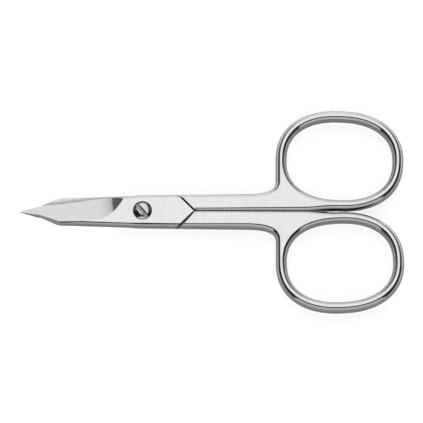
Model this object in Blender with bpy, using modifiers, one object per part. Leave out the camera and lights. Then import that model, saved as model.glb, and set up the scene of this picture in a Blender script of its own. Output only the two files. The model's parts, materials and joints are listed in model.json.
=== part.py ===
"""Nail scissors with a lap joint, a slotted pivot screw and tapered tips.

Two forged halves of the same shape cross at the pivot. Each is the other turned by half a turn
about the long axis. One half turns on the screw, and the screw is fixed in the other.
Sizes are in metres. The pivot stands at x = 0, y = 0 while the pieces are drawn: the tips lie
toward -X, the finger rings toward +X, and the lap between the halves is the plane z = 0.
"""
import math

import bmesh
import bpy
from mathutils import Matrix, Vector
from mathutils.geometry import interpolate_bezier

# Reach and thickness of the closed scissors
TIP_REACH = 0.0289            # pivot to the tips
RING_REACH = 0.0611           # pivot to the far ends of the rings
THICKNESS = 0.0034            # over the two flat faces of a handle
FACE_STEP = 0.00015           # the blade and joint faces lie this much below the handle's
LAP_GAP = 0.00006             # between the two halves where they lap

# Rounded sides: how far each reaches into the face beside it
BLADE_ROUND = 0.00092
TAPER_ROUND = 0.0015          # along the back of the tapered tip
POINT_ROUND = 0.0005          # at the very point, and along the cutting edge
SHANK_ROUND = 0.001
RING_ROUND = 0.00122
WALL_FLAT = 0.0003            # straight band halfway up every rounded side
RING_ROUND_START = 0.015      # the shank's rounding grows into the ring's from here
RING_ROUND_END = 0.027        # to here, measured from the pivot

# Widths of one half, from the long axis to its outer side
SHANK_HALF_WIDTH = 0.00424    # where the shank meets the ring
JOINT_HALF_WIDTH = 0.00393    # at the pivot
BLADE_HALF_WIDTH = 0.0033     # where the tapered tip begins

# Blade
TAPER_LENGTH = 0.0092         # tapered tip, along the axis
POINT_LENGTH = 0.0049         # its slender end, as far as the bend in its back
POINT_EDGE_LENGTH = 0.0043    # the end of the cutting edge, where it turns toward the point
TAPER_BEND = Vector((POINT_LENGTH - TIP_REACH, -0.00136))
CORNER_SOFTENING = 0.0012     # length of each soft corner along the back
EDGE_HEEL = Vector((-0.0076, 0.0034))       # the cutting edge starts here, beside the joint
EDGE_BELLY = Vector((POINT_EDGE_LENGTH - TIP_REACH, 0.00133))
GRIND_WIDTH = 0.0051          # width of the ground slope beside the cutting edge
GRIND_END_X = -0.0034        # where the slope has run out, on the cutting edge side
RUN_OUT_LENGTH = 0.007        # of the hollow in which the slope runs out
RUN_OUT_POWER = 2             # the hollow steepens with this power of the way along it
EDGE_LAND = 0.00013           # height left at the cutting edge

# Joint and split between the handles
APEX_X = 0.0119               # point of the V where the handles part
CHEVRON_ANGLE = math.radians(45)
RISER_SLOPE = math.radians(18)              # of the step from the plate up to the handle
SHOULDER_ANGLE = math.radians(48)
SHOULDER_GAP = 0.0003         # at the point of the V, between a plate's end and the shoulder
SHOULDER_ROUND = 0.00012      # radius of the shoulder's rim
SPLIT_GAP = 0.00034           # between the closed handles
SPLIT_STOCK = 0.0003          # how far the forging passes the axis before it is ground flat
SPLIT_FLAT_END = 0.0365       # where the ground flat between the handles runs out

# Finger rings
FINGER_HOLE_LENGTH = 0.02476
FINGER_HOLE_WIDTH = 0.01898
BAR_WIDTH = 0.00262           # of the bar around the finger hole
RING_CLEARANCE = 0.00018      # from the axis to the bar
RING_FULLNESS = 2.3           # exponent of the oval: 2 is an ellipse, more is boxier
RING_LEAN = math.radians(2.45)
NECK_RUN = 0.0062             # length of the curve from the shank up into the ring
NECK_RISE = 0.0028            # its height

# Pivot screw
HEAD_DIAMETER = 0.00406
HEAD_RIM = 0.00066            # height of the head's rim above its seat
CROWN_DIAMETER = 0.00304      # of the head's crown, inside its chamfer
CROWN_RISE = 0.00023
CHAMFER_RISE = 0.0003         # of the broad chamfer between the rim and the crown
RECESS_CLEARANCE = 0.0002     # around the head
SEAT_DEPTH = 0.0009           # of the recess, below the joint face
SCREW_DIAMETER = 0.0024
BORE_CLEARANCE = 0.00008      # around the screw, all round
SEAT_CLEARANCE = 0.00005      # under the head
SLOT_WIDTH = 0.00056          # of the slot's floor
SLOT_LEAN = 0.00035           # how far the slot's worn side leans back
SLOT_DEPTH = 0.00042
SLOT_OFFSET = 0.00042         # of the slot's floor from the middle of the head
SLOT_ANGLE = math.radians(-50)
END_CHAMFER = 0.00012         # of the screw's end
SCREW_END_INSET = 0.00005     # of the screw's end below the far half's joint face

# Vertices closer than this are one
WELD_DISTANCE = 0.000001

# How finely the curves are drawn
RING_STEPS = 96
CURVE_STEPS = 8
CORNER_STEPS = 3
LAYERS = 5
RUN_OUT_STEPS = 12
CROWN_STEPS = 4
ROUND_STEPS = 3
ROUND_SIDES = 32

HALF_THICKNESS = THICKNESS / 2
FACE_HEIGHT = HALF_THICKNESS - FACE_STEP
RING_HALF_LENGTH = (FINGER_HOLE_LENGTH + BAR_WIDTH) / 2
RING_HALF_WIDTH = (FINGER_HOLE_WIDTH + BAR_WIDTH) / 2
RING_CENTER = Vector((
    RING_REACH - RING_HALF_LENGTH - BAR_WIDTH / 2,
    RING_CLEARANCE + RING_HALF_WIDTH + BAR_WIDTH / 2,
))
TIP = Vector((-TIP_REACH, 0))
BACK_CORNER = Vector((TAPER_LENGTH - TIP_REACH, -BLADE_HALF_WIDTH))
INNER_FACE = LAP_GAP / 2
GRIND_SLOPE = math.atan((FACE_HEIGHT - INNER_FACE - EDGE_LAND) / GRIND_WIDTH)

# The plate reaches this far under the handle where the two are joined
OVERLAP = 0.0004

# Cutters reach past the pieces by these
BEYOND = TIP_REACH + RING_REACH
GRIND_REACH = 4 * JOINT_HALF_WIDTH
CUTTER_HEIGHT = 2 * THICKNESS


def bezier_points(start, start_handle, end_handle, end, steps=CURVE_STEPS):
    """Points of a cubic curve, without its first one."""
    corners = [Vector(corner) for corner in (start, start_handle, end_handle, end)]
    return interpolate_bezier(*corners, steps + 1)[1:]


def ring_point(turn, offset):
    """Point beside the bar's middle line, which is a leaning superellipse."""
    cosine = math.cos(turn)
    sine = math.sin(turn)
    power = 2 / RING_FULLNESS
    u = math.copysign(abs(cosine) ** power, cosine)
    v = math.copysign(abs(sine) ** power, sine)
    outward = Vector((
        math.copysign(abs(u) ** (RING_FULLNESS - 1), u) / RING_HALF_LENGTH,
        math.copysign(abs(v) ** (RING_FULLNESS - 1), v) / RING_HALF_WIDTH,
    )).normalized()
    point = Vector((u * RING_HALF_LENGTH, v * RING_HALF_WIDTH)) + offset * outward
    return RING_CENTER + Matrix.Rotation(-RING_LEAN, 2) @ point


def ring_arc(first_step, last_step, offset):
    """Points along the ring, counted in steps from its far end."""
    full_turn = 2 * math.pi
    return [
        ring_point(full_turn * step / RING_STEPS, offset)
        for step in range(first_step, last_step + 1)
    ]


def outer_side(x):
    """Half width of the joint and shank at x."""
    neck_start = RING_CENTER.x - RING_HALF_LENGTH - BAR_WIDTH / 2 - NECK_RUN
    share = x / neck_start
    return JOINT_HALF_WIDTH + share * (SHANK_HALF_WIDTH - JOINT_HALF_WIDTH)


def soft_corner(before, corner, after):
    """A corner drawn as a small curve, which starts and ends CORNER_SOFTENING from it."""
    start = corner + (before - corner).normalized() * CORNER_SOFTENING
    end = corner + (after - corner).normalized() * CORNER_SOFTENING
    return [start] + bezier_points(start, corner, corner, end, CORNER_STEPS)


def back_side():
    """From the tip along the blade's back to the stock that is left past the V."""
    joint_side = Vector((0, -JOINT_HALF_WIDTH))
    stock_end = APEX_X + 2 * SHANK_ROUND
    return (
        [TIP] + soft_corner(TIP, TAPER_BEND, BACK_CORNER)
        + soft_corner(TAPER_BEND, BACK_CORNER, joint_side)
        + [joint_side, Vector((stock_end, -outer_side(stock_end)))]
        + [Vector((stock_end, -SPLIT_STOCK))]
    )


def split_side():
    """Along the split, where the forging passes the axis, and round the ring."""
    flat_end = Vector((SPLIT_FLAT_END, -SPLIT_STOCK))
    ring_bottom = ring_point(-math.pi / 2, BAR_WIDTH / 2)
    reach = Vector(((ring_bottom.x - flat_end.x) / 2, 0))
    quarter = RING_STEPS // 4
    return (
        [flat_end]
        + bezier_points(flat_end, flat_end + reach, ring_bottom - reach, ring_bottom)
        + ring_arc(1 - quarter, 2 * quarter, BAR_WIDTH / 2)
    )


def neck_side(ring_side):
    """From the ring's near side down the neck to the shank."""
    neck_start_x = ring_side.x - NECK_RUN
    neck_start = Vector((neck_start_x, outer_side(neck_start_x)))
    neck_top = Vector((ring_side.x, neck_start.y + NECK_RISE))
    return [neck_top] + bezier_points(
        neck_top, neck_top - Vector((0, 0.75 * NECK_RISE)),
        neck_start + Vector((0.58 * NECK_RUN, 0.05 * NECK_RISE)), neck_start
    )


def edge_side():
    """From the joint along the cutting edge to its belly."""
    joint_edge = Vector((0, JOINT_HALF_WIDTH))
    pull = 0.35 * abs(EDGE_HEEL.x)
    along_edge = (EDGE_HEEL - EDGE_BELLY).normalized()
    heel_curve = bezier_points(
        joint_edge, joint_edge - Vector((pull, 0)), EDGE_HEEL + along_edge * pull, EDGE_HEEL
    )
    return [joint_edge] + heel_curve + [EDGE_BELLY]


def half_outline():
    """Outline of the near half seen from above, anticlockwise from its tip."""
    points = back_side() + split_side()
    return points + neck_side(points[-1]) + edge_side()


def hole_outline():
    return ring_arc(0, RING_STEPS - 1, -BAR_WIDTH / 2)


def smooth_step(value, start, end):
    share = min(1, max(0, (value - start) / (end - start)))
    return share * share * (3 - 2 * share)


def blend(first, second, share):
    return first + (second - first) * share


def rounding(point):
    """How far the rounded side reaches into the face beside this point of the outline."""
    taper = TAPER_ROUND if point.y < 0 else POINT_ROUND
    blade = blend(BLADE_ROUND, taper, smooth_step(point.x, BACK_CORNER.x, TAPER_BEND.x))
    blade = blend(blade, POINT_ROUND, smooth_step(point.x, TAPER_BEND.x, TIP.x))
    shank = blend(blade, SHANK_ROUND, smooth_step(point.x, 0, APEX_X))
    return blend(shank, RING_ROUND, smooth_step(point.x, RING_ROUND_START, RING_ROUND_END))


def inward_ways(points):
    """The way inward at each point of an anticlockwise outline, so that sides stay parallel."""
    ways = []
    for before, here, after in zip(points[-1:] + points[:-1], points, points[1:] + points[:1]):
        first = (here - before).normalized()
        second = (after - here).normalized()
        first_in = Vector((-first.y, first.x))
        second_in = Vector((-second.y, second.x))
        ways.append((first_in + second_in) / (1 + first_in.dot(second_in)))
    return ways


def new_collection(name):
    collection = bpy.data.collections.new(name)
    bpy.context.scene.collection.children.link(collection)
    return collection


def start_loop(body, points, side):
    """The outline as a loop of edges whose vertices know their place and their way inward."""
    place = body.verts.layers.float_vector['place']
    inward = body.verts.layers.float_vector['inward']
    vertices = []
    for point, way in zip(points, inward_ways(points)):
        vertex = body.verts.new()
        vertex[place] = point.to_3d()
        vertex[inward] = (side * way * rounding(point)).to_3d()
        vertices.append(vertex)
    return [body.edges.new(pair) for pair in zip(vertices, vertices[1:] + vertices[:1])]


def shape_layer(body, vertices, half_height, turn, facing):
    """Move one layer of the slab's side in and up, along a quarter of an ellipse."""
    place = body.verts.layers.float_vector['place']
    inward = body.verts.layers.float_vector['inward']
    height = WALL_FLAT / 2 + (half_height - WALL_FLAT / 2) * math.cos(turn)
    for vertex in vertices:
        vertex.co = vertex[place] + vertex[inward] * (1 - math.sin(turn))
        vertex.co.z = facing * height


def forging(name, half_height, collection):
    """The half as forged, raised layer by layer from its outline and its finger hole."""
    body = bmesh.new()
    body.verts.layers.float_vector.new('place')
    body.verts.layers.float_vector.new('inward')
    edges = start_loop(body, half_outline(), 1) + start_loop(body, hole_outline(), -1)
    turns = [math.pi / 2 * step / LAYERS for step in range(LAYERS + 1)]
    layers = [(turn, -1) for turn in turns] + [(turn, 1) for turn in reversed(turns)]
    shape_layer(body, body.verts, half_height, *layers[0])
    bottom = edges
    for turn, facing in layers[1:]:
        raised = bmesh.ops.extrude_edge_only(body, edges=edges)['geom']
        edges = [item for item in raised if isinstance(item, bmesh.types.BMEdge)]
        lifted = [item for item in raised if isinstance(item, bmesh.types.BMVert)]
        shape_layer(body, lifted, half_height, turn, facing)
    for rim in (bottom, edges):
        bmesh.ops.triangle_fill(body, edges=rim, use_beauty=True, normal=(0, 0, 1))
    bmesh.ops.recalc_face_normals(body, faces=body.faces)
    mesh = bpy.data.meshes.new(name)
    body.to_mesh(mesh)
    body.free()
    for spent in ('place', 'inward'):
        mesh.attributes.remove(mesh.attributes[spent])
    result = bpy.data.objects.new(name, mesh)
    collection.objects.link(result)
    return result


def block_cutter(name, points, start, moves, collection, matrix=Matrix()):
    """A flat outline at the height start, raised by one move after another."""
    body = bmesh.new()
    corners = [body.verts.new((point.x, point.y, start)) for point in map(Vector, points)]
    edges = list(body.faces.new(corners).edges)
    for move in moves:
        raised = bmesh.ops.extrude_edge_only(body, edges=edges)['geom']
        edges = [item for item in raised if isinstance(item, bmesh.types.BMEdge)]
        lifted = [item for item in raised if isinstance(item, bmesh.types.BMVert)]
        bmesh.ops.translate(body, verts=lifted, vec=move)
    bmesh.ops.edgeloop_fill(body, edges=edges)
    bmesh.ops.transform(body, matrix=matrix, verts=body.verts)
    bmesh.ops.recalc_face_normals(body, faces=body.faces)
    return cutter_object(name, body, collection)


def prism_cutter(name, points, bottom, top, collection, matrix=Matrix()):
    """A flat outline raised straight from bottom to top."""
    return block_cutter(name, points, bottom, [Vector((0, 0, top - bottom))], collection, matrix)


def cylinder_cutter(name, diameter, bottom, top, collection):
    body = bmesh.new()
    bmesh.ops.create_cone(
        body, cap_ends=True, segments=ROUND_SIDES, radius1=diameter / 2, radius2=diameter / 2,
        depth=top - bottom, matrix=Matrix.Translation((0, 0, (top + bottom) / 2))
    )
    return cutter_object(name, body, collection)


def cutter_object(name, body, collection):
    mesh = bpy.data.meshes.new(name)
    body.to_mesh(mesh)
    body.free()
    cutter = bpy.data.objects.new(name, mesh)
    cutter.hide_render = True
    cutter.display_type = 'WIRE'
    collection.objects.link(cutter)
    return cutter


def work(target, tool, operation='DIFFERENCE'):
    modifier = target.modifiers.new(tool.name, 'BOOLEAN')
    modifier.operation = operation
    modifier.object = tool


def tips_side(angle, apex_x):
    """Area on the tips' side of a line that leaves the axis at apex_x and leans to the tips."""
    rise = BEYOND * math.sin(angle)
    run = BEYOND * math.cos(angle)
    return [
        Vector((apex_x, 0)), Vector((apex_x - run, rise)), Vector((-BEYOND, rise)),
        Vector((-BEYOND, -rise)), Vector((apex_x, -rise)),
    ]


def rings_side(angle, apex_x):
    """Area on the other side of that line."""
    rise = BEYOND * math.sin(angle)
    run = BEYOND * math.cos(angle)
    return [
        Vector((apex_x, -rise)), Vector((2 * BEYOND, -rise)), Vector((2 * BEYOND, rise)),
        Vector((apex_x - run, rise)), Vector((apex_x, 0)),
    ]


def other_handle_side():
    """Area of the other half's handle, from the plate's end and the split outward."""
    edge = SPLIT_GAP / 2
    run = BEYOND / math.tan(CHEVRON_ANGLE)
    return [
        Vector((APEX_X + edge, edge)), Vector((BEYOND, edge)), Vector((BEYOND, edge - BEYOND)),
        Vector((APEX_X + edge - run, edge - BEYOND)),
    ]


def grind_cutter(name, edge_start, edge_end, profile, collection):
    """What a grinding wheel takes off above a sloping plane through the cutting edge.

    The profile is drawn in x and z from the edge's start, stood upright, tipped to the slope
    and turned to the edge's heading.
    """
    along = edge_end - edge_start
    upright = Matrix.Rotation(math.pi / 2, 4, 'X')
    tipped = Matrix.Rotation(-GRIND_SLOPE, 4, 'X')
    heading = Matrix.Rotation(math.atan2(along.y, along.x), 4, 'Z')
    place = Matrix.Translation((*edge_start, INNER_FACE + EDGE_LAND))
    matrix = place @ heading @ tipped @ upright
    return prism_cutter(name, profile, -GRIND_REACH, GRIND_REACH, collection, matrix)


def main_grind_profile():
    """Level along the blade, then steeper and steeper as the wheel leaves the steel."""
    along = EDGE_HEEL - EDGE_BELLY
    run_out_end = (GRIND_END_X - EDGE_BELLY.x) * along.length / along.x
    depth = GRIND_WIDTH * math.sin(GRIND_SLOPE)
    past_end = (CUTTER_HEIGHT / depth) ** (1 / RUN_OUT_POWER)
    profile = [Vector((-BEYOND, 0))]
    for step in range(RUN_OUT_STEPS + 1):
        share = past_end * step / RUN_OUT_STEPS
        profile.append(Vector((
            run_out_end + RUN_OUT_LENGTH * (share - 1), depth * share ** RUN_OUT_POWER
        )))
    profile.append(Vector((-BEYOND, CUTTER_HEIGHT)))
    return profile


def tip_grind_profile():
    """Level past the belly, to where the main slope already lies below it."""
    end = (EDGE_BELLY - TIP).length + (EDGE_HEEL - EDGE_BELLY).length / 2
    return [
        Vector((-BEYOND, 0)), Vector((end, 0)),
        Vector((end, CUTTER_HEIGHT)), Vector((-BEYOND, CUTTER_HEIGHT)),
    ]


def lap_cutter(name, cutters):
    """The room of the other half's plate, with a rounded rim where its shoulder meets the face."""
    apex_x = APEX_X + SHOULDER_GAP / math.sin(SHOULDER_ANGLE)
    moves = [Vector((0, 0, SHOULDER_ROUND - HALF_THICKNESS - INNER_FACE))]
    turns = [math.pi / 2 * step / ROUND_STEPS for step in range(ROUND_STEPS + 1)]
    for before, here in zip(turns, turns[1:]):
        outward = SHOULDER_ROUND * (math.cos(before) - math.cos(here))
        down = SHOULDER_ROUND * (math.sin(here) - math.sin(before))
        moves.append(Vector((outward / math.sin(SHOULDER_ANGLE), 0, -down)))
    moves.append(Vector((0, 0, -CUTTER_HEIGHT)))
    return block_cutter(name, tips_side(SHOULDER_ANGLE, apex_x), INNER_FACE, moves, cutters)


def handle_cutters(name, cutters):
    """The plate's side of the handle, and the slope in which the handle's face ends there."""
    flare = 1 / math.tan(RISER_SLOPE) / math.sin(CHEVRON_ANGLE)
    return [
        prism_cutter(
            name + '_plate_side', tips_side(CHEVRON_ANGLE, APEX_X), -CUTTER_HEIGHT,
            CUTTER_HEIGHT, cutters
        ),
        block_cutter(
            name + '_riser', tips_side(CHEVRON_ANGLE, APEX_X - FACE_HEIGHT * flare), 0,
            [Vector((CUTTER_HEIGHT * flare, 0, CUTTER_HEIGHT))], cutters
        ),
    ]


def blade_cutters(name, bores, cutters):
    """What is taken from the plate and blade alone."""
    tools = [
        prism_cutter(
            name + '_handle_side', rings_side(CHEVRON_ANGLE, APEX_X + OVERLAP),
            -CUTTER_HEIGHT, CUTTER_HEIGHT, cutters
        ),
        grind_cutter(name + '_grind', EDGE_BELLY, EDGE_HEEL, main_grind_profile(), cutters),
        grind_cutter(name + '_tip_grind', TIP, EDGE_BELLY, tip_grind_profile(), cutters),
    ]
    for bore_name, diameter, bottom in bores:
        tools.append(cylinder_cutter(
            f'{name}_{bore_name}', diameter, bottom, CUTTER_HEIGHT, cutters
        ))
    return tools


def scissor_half(name, bores, pivot, turned, parts, cutters):
    """One half: its handle, joined to the thinner plate and blade.

    It is drawn as the near half, and turned over for the far one.
    """
    frame = bpy.data.objects.new(name + '_frame', None)
    frame.parent = pivot
    frame.rotation_euler.x = math.pi if turned else 0
    parts.objects.link(frame)
    half = forging(name, HALF_THICKNESS, parts)
    blade = forging(name + '_blade', FACE_HEIGHT, cutters)
    blade.hide_render = True
    blade.display_type = 'WIRE'
    shared = [
        prism_cutter(
            name + '_split', other_handle_side(), -CUTTER_HEIGHT, CUTTER_HEIGHT, cutters
        ),
        lap_cutter(name + '_lap', cutters),
    ]
    handle_tools = handle_cutters(name, cutters) + shared
    blade_tools = shared + blade_cutters(name, bores, cutters)
    for piece in [half, blade] + handle_tools + blade_tools:
        piece.parent = frame
    for tool in handle_tools:
        work(half, tool)
    for tool in blade_tools:
        work(blade, tool)
    work(half, blade, 'UNION')
    weld = half.modifiers.new('welded', 'WELD')
    weld.merge_threshold = WELD_DISTANCE
    return half


def screw_profile():
    """Half of the screw seen from the side, from the top of its crown down to its end."""
    seat = FACE_HEIGHT - SEAT_DEPTH + SEAT_CLEARANCE
    rim = seat + HEAD_RIM
    head_radius = HEAD_DIAMETER / 2
    screw_radius = SCREW_DIAMETER / 2
    end = SCREW_END_INSET - FACE_HEIGHT
    profile = []
    for step in range(CROWN_STEPS + 1):
        share = step / CROWN_STEPS
        profile.append(Vector((
            share * CROWN_DIAMETER / 2, 0,
            rim + CHAMFER_RISE + CROWN_RISE * (1 - share * share)
        )))
    return profile + [
        Vector((head_radius, 0, rim)), Vector((head_radius, 0, seat)),
        Vector((screw_radius, 0, seat)), Vector((screw_radius, 0, end + END_CHAMFER)),
        Vector((screw_radius - END_CHAMFER, 0, end)), Vector((0, 0, end)),
    ]


def slot_cutter(name, cutters):
    """The slot seen along its length: a steep side, the floor and a side that leans back."""
    floor_start = -SLOT_OFFSET - SLOT_WIDTH / 2
    floor_end = floor_start + SLOT_WIDTH
    open_end = floor_end + 2 * SLOT_LEAN
    profile = [
        Vector((floor_start, 0)), Vector((floor_end, 0)), Vector((open_end, 2 * SLOT_DEPTH)),
        Vector((floor_start, 2 * SLOT_DEPTH)),
    ]
    crown_foot = FACE_HEIGHT - SEAT_DEPTH + SEAT_CLEARANCE + HEAD_RIM + CHAMFER_RISE
    place = (
        Matrix.Translation((0, 0, crown_foot + CROWN_RISE / 2 - SLOT_DEPTH))
        @ Matrix.Rotation(SLOT_ANGLE, 4, 'Z') @ Matrix.Rotation(math.pi / 2, 4, 'Z')
        @ Matrix.Rotation(math.pi / 2, 4, 'X')
    )
    return prism_cutter(name, profile, -HEAD_DIAMETER, HEAD_DIAMETER, cutters, place)


def pivot_screw(pivot, parts, cutters):
    """A turned screw with a crowned head, and a slot across the head."""
    body = bmesh.new()
    vertices = [body.verts.new(point) for point in screw_profile()]
    for first, second in zip(vertices, vertices[1:]):
        body.edges.new((first, second))
    mesh = bpy.data.meshes.new('pivot_screw')
    body.to_mesh(mesh)
    body.free()
    screw = bpy.data.objects.new('pivot_screw', mesh)
    parts.objects.link(screw)
    screw.parent = pivot
    turn = screw.modifiers.new('turned', 'SCREW')
    turn.steps = ROUND_SIDES
    turn.render_steps = ROUND_SIDES
    turn.use_merge_vertices = True
    turn.merge_threshold = WELD_DISTANCE
    slot = slot_cutter('pivot_screw_slot', cutters)
    slot.parent = pivot
    work(screw, slot)
    return screw


def steel(name, colour, roughness):
    material = bpy.data.materials.new(name)
    material.use_nodes = True
    shader = material.node_tree.nodes['Principled BSDF']
    shader.inputs['Base Color'].default_value = (*colour, 1)
    shader.inputs['Metallic'].default_value = 1
    shader.inputs['Roughness'].default_value = roughness
    material.diffuse_color = (*colour, 1)
    return material


def finish(piece, material, crease):
    """Give a piece its material and smooth shading, with sharp edges past an angle."""
    piece.data.materials.append(material)
    piece.data.shade_smooth()
    piece.data.set_sharp_from_angle(angle=crease)


for old in list(bpy.data.objects):
    bpy.data.objects.remove(old)
parts = new_collection('nail_scissors')
cutters = new_collection('cutters')

# The frame's origin is below the middle of the closed scissors, on the face they lie on
pivot = bpy.data.objects.new('pivot', None)
pivot.location = (TIP_REACH - (TIP_REACH + RING_REACH) / 2, 0, HALF_THICKNESS)
parts.objects.link(pivot)

bore = SCREW_DIAMETER + 2 * BORE_CLEARANCE
recess = HEAD_DIAMETER + 2 * RECESS_CLEARANCE
near_bores = [('bore', bore, -CUTTER_HEIGHT), ('recess', recess, FACE_HEIGHT - SEAT_DEPTH)]
far_bores = [('bore', bore, -CUTTER_HEIGHT)]
near_half = scissor_half('near_half', near_bores, pivot, False, parts, cutters)
far_half = scissor_half('far_half', far_bores, pivot, True, parts, cutters)
screw = pivot_screw(pivot, parts, cutters)

polished = steel('polished_steel', (0.78, 0.78, 0.79), 0.12)
turned_steel = steel('turned_steel', (0.72, 0.72, 0.73), 0.2)
for half in (near_half, far_half):
    finish(half, polished, math.radians(30))
finish(screw, turned_steel, math.radians(30))
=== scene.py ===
# %% [markdown]
# # Nail scissors, dressed for their picture
#
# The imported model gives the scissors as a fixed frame: two forged halves and the screw that they
# turn on. This lesson keeps that frame and makes a finer copy of each piece on top of it, then
# gives the steel its finish and sets up a small studio. The frame is loaded first, because every
# later size is measured from it.

# %% Load the frame
import json
import math

import bmesh
import bpy
from mathutils import Matrix, Vector
from mathutils.geometry import interpolate_bezier


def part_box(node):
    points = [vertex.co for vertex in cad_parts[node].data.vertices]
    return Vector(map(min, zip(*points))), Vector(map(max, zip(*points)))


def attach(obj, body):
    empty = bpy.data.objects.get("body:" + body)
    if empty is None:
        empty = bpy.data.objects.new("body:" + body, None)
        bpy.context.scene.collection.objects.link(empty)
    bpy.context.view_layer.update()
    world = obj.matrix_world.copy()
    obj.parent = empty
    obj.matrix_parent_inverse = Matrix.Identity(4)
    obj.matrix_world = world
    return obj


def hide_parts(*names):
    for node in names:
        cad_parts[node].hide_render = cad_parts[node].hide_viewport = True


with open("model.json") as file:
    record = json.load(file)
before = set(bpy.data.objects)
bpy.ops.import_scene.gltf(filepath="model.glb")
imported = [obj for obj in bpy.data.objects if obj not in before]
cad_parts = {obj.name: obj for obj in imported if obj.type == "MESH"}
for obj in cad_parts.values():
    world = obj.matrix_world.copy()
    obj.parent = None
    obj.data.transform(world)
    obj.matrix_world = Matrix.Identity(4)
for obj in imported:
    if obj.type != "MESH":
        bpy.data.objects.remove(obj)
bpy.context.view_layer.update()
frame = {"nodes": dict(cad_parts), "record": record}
MM = 0.001
pivot = Vector(frame["record"]["behaviour"]["joints"][0]["pos_m"])
print("pivot stands at", [round(value / MM, 2) for value in pivot], "mm")
for node in frame["nodes"]:
    low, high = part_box(node)
    print(node, "size", [round((b - a) / MM, 2) for a, b in zip(low, high)], "mm")

# %% [markdown]
# ## The camera
#
# The picture was taken from nearly overhead, 15 degrees off the vertical and from the near side,
# with a long lens: the two rings come out the same size. A long lens far away keeps the sides of
# the rings parallel. The camera is placed by walking back from the point that it looks at.

# %% Camera
PICTURE = 423
PIXEL = 0.2338 * MM
PIVOT_COLUMN = 142.5
MIDDLE_ABOVE_PIVOT = 0.6
CAMERA_ELEVATION = math.radians(75)
LENS_LENGTH = 500
SENSOR_WIDTH = 36
FARTHEST_SEEN = 20
scene = bpy.context.scene
right = Vector((1, 0, 0))
up = Vector((0, math.sin(CAMERA_ELEVATION), math.cos(CAMERA_ELEVATION)))
backward = Vector((0, -math.cos(CAMERA_ELEVATION), math.sin(CAMERA_ELEVATION)))
target = (
    pivot + right * (PICTURE / 2 - PIVOT_COLUMN) * PIXEL + up * MIDDLE_ABOVE_PIVOT * PIXEL
)

lens = bpy.data.cameras.new("camera")
lens.lens = LENS_LENGTH
lens.sensor_width = SENSOR_WIDTH
lens.clip_end = FARTHEST_SEEN
camera = bpy.data.objects.new("camera", lens)
distance = PICTURE * PIXEL * LENS_LENGTH / SENSOR_WIDTH
camera.location = target + backward * distance
camera.rotation_euler = (math.pi / 2 - CAMERA_ELEVATION, 0, 0)
scene.collection.objects.link(camera)
scene.camera = camera
scene.view_settings.view_transform = "Standard"
print("camera stands", round(distance, 2), "m away")

# %% [markdown]
# ## The outline of one half
#
# Both halves are the same forging, one turned over. Its outline is drawn once, seen from above
# with the pivot at the origin, the tips toward -X and the rings toward +X. The finger ring is an
# oval that is a little boxier than an ellipse and leans slightly, and that shape has a name: a
# superellipse. The rest is a few straight runs and soft curves between them. The back of the
# blade tapers in two steps, first quickly and then slenderly to the point.

# %% Sizes of the outline
TIP_REACH = 28.9 * MM
RING_REACH = 61.1 * MM
THICKNESS = 3.4 * MM
SHANK_HALF_WIDTH = 4.24 * MM
JOINT_HALF_WIDTH = 3.93 * MM
BLADE_HALF_WIDTH = 3.3 * MM
TAPER_LENGTH = 9.2 * MM
TAPER_BEND = Vector((-24.0, -1.36)) * MM
CORNER_SOFTENING = 1.2 * MM
EDGE_HEEL = Vector((-9.0, 3.23)) * MM
HEEL_PULL = Vector((-4.2, 3.25)) * MM
JOINT_PULL = Vector((-3.6, 3.93)) * MM
EDGE_BELLY = Vector((-24.6, 1.33)) * MM
APEX_X = 11.9 * MM
SPLIT_STOCK = 0.3 * MM
SPLIT_FLAT_END = 36.5 * MM
HOLE_LENGTH = 24.76 * MM
HOLE_WIDTH = 18.98 * MM
BAR_WIDTH = 2.62 * MM
RING_CLEARANCE = 0.18 * MM
RING_FULLNESS = 2.3
RING_LEAN = math.radians(2.45)
NECK_RUN = 6.2 * MM
NECK_RISE = 2.8 * MM
NECK_TOP_PULL = 0.75
NECK_PULL_RUN = 0.58
NECK_PULL_RISE = 0.05
PLATE_OVERRUN = 1.2 * MM

ring_half_length = (HOLE_LENGTH + BAR_WIDTH) / 2
ring_half_width = (HOLE_WIDTH + BAR_WIDTH) / 2
ring_center = Vector((
    RING_REACH - ring_half_length - BAR_WIDTH / 2,
    RING_CLEARANCE + ring_half_width + BAR_WIDTH / 2,
))
TIP = Vector((-TIP_REACH, 0))
BACK_CORNER = Vector((TAPER_LENGTH - TIP_REACH, -BLADE_HALF_WIDTH))


# %% Points on the ring and on soft curves
RING_STEPS = 192


def ring_point(turn, offset):
    """A point beside the middle line of the ring's bar, offset outward from it."""
    power = 2 / RING_FULLNESS
    u = math.copysign(abs(math.cos(turn)) ** power, math.cos(turn))
    v = math.copysign(abs(math.sin(turn)) ** power, math.sin(turn))
    outward = Vector((
        math.copysign(abs(u) ** (RING_FULLNESS - 1), u) / ring_half_length,
        math.copysign(abs(v) ** (RING_FULLNESS - 1), v) / ring_half_width,
    )).normalized()
    point = Vector((u * ring_half_length, v * ring_half_width)) + offset * outward
    return ring_center + Matrix.Rotation(-RING_LEAN, 2) @ point


def ring_arc(first, last, offset):
    return [ring_point(2 * math.pi * step / RING_STEPS, offset) for step in range(first, last + 1)]


def soft_curve(start, start_pull, end_pull, end, steps):
    """A cubic curve, without its first point."""
    corners = [Vector(corner) for corner in (start, start_pull, end_pull, end)]
    return interpolate_bezier(*corners, steps + 1)[1:]


def soft_corner(before, corner, after, softening, steps):
    """A corner drawn as a small curve, which starts and ends that far from it."""
    start = corner + (before - corner).normalized() * softening
    end = corner + (after - corner).normalized() * softening
    return [start] + soft_curve(start, corner, corner, end, steps)


print("ring centre", [round(value / MM, 2) for value in ring_center], "mm from the pivot")


# %% The back and the split side
BEND_STEPS = 8
CORNER_STEPS = 12
SPLIT_STEPS = 20


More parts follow.
